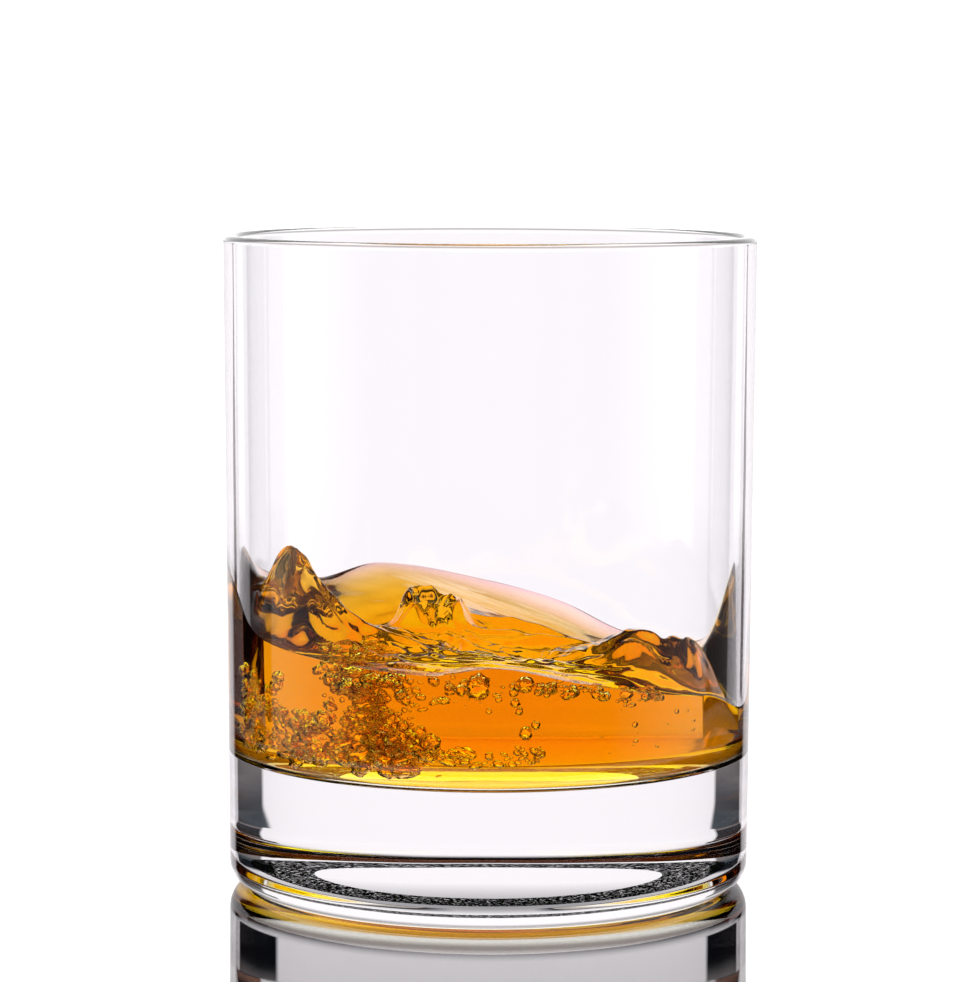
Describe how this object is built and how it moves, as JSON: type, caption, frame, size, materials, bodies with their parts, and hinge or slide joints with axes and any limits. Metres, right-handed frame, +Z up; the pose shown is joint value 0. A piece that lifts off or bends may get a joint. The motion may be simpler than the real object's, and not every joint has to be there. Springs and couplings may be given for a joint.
{
  "type": "tumbler of whisky",
  "caption": "Round heavy-based rocks tumbler holding a swirling pour of neat amber whisky with a splash and a raised ring in its surface.",
  "frame": {"origin": "middle of the flat ring that the glass stands on", "axes": "+Z up along the glass's axis, -Y towards the front of the glass as shown, -X towards the splash in the whisky"},
  "size_m": [0.084, 0.084, 0.103],
  "materials": {
    "clear_glass": "clear polished soda glass, the ring it stands on finely stippled",
    "amber_whisky": "clear amber spirit with air bubbles"
  },
  "bodies": {
    "root": {"glass": "clear_glass", "whisky": "amber_whisky"}
  },
  "joints": []
}
